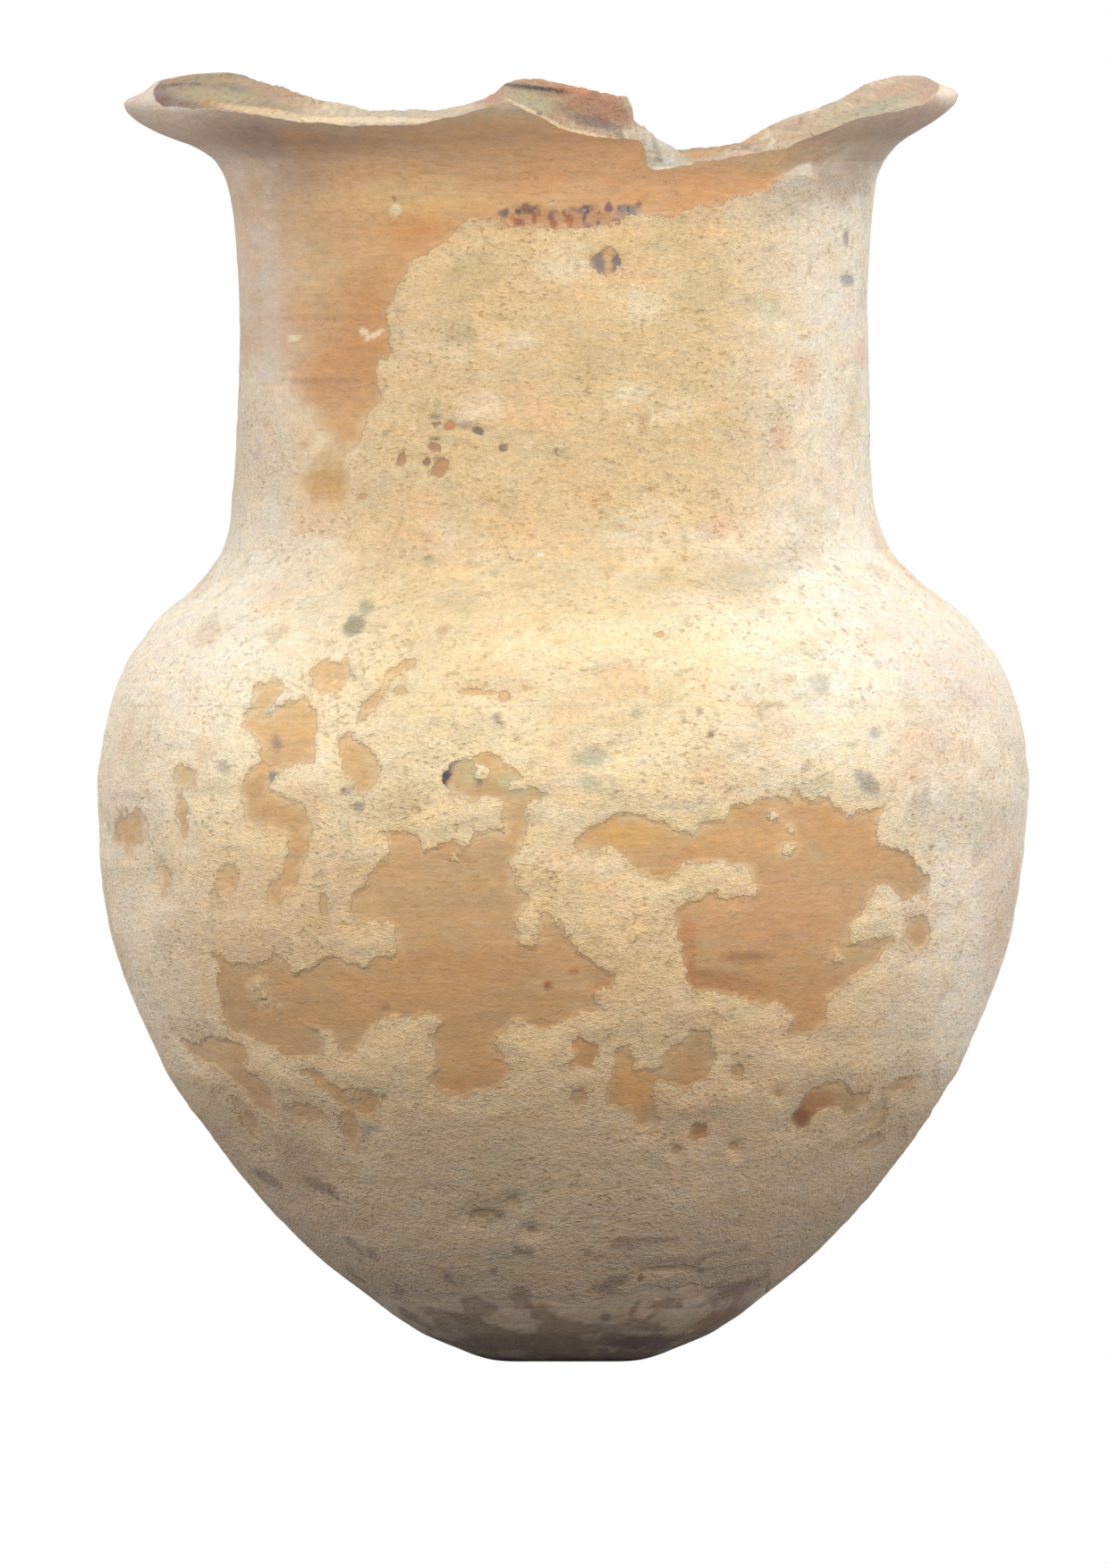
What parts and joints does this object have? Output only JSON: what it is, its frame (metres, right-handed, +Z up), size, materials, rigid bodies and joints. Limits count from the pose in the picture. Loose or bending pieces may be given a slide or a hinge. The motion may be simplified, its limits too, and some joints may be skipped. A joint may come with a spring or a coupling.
{
  "type": "cylindrical-necked vase",
  "caption": "Wheel-made pottery jar with an egg-shaped body, a tall cylindrical neck, a broken everted rim and a flaked burial crust",
  "frame": {"origin": "middle of the bounding box at the resting face, under the middle of the belly", "axes": "+Z up along the height, -Y toward the viewer of the picture, +X to the viewer's right"},
  "size_m": [0.2466, 0.2466, 0.3419],
  "materials": {
    "fired_clay": "matt, fine wheel lines",
    "lip_clay": "matt, worn",
    "burial_crust": "rough, sandy"
  },
  "bodies": {
    "root": {"base_cap": "fired_clay", "lower_wall": "fired_clay", "low_belly_wall": "fired_clay", "belly_wall": "fired_clay", "shoulder_wall": "fired_clay", "neck_wall": "fired_clay", "rim_flare": "fired_clay", "lip_left": "lip_clay", "lip_right": "lip_clay", "crust_foot": "burial_crust", "crust_flank": "burial_crust", "crust_belly": "burial_crust", "crust_shoulder": "burial_crust", "crust_neck": "burial_crust"}
  },
  "joints": []
}
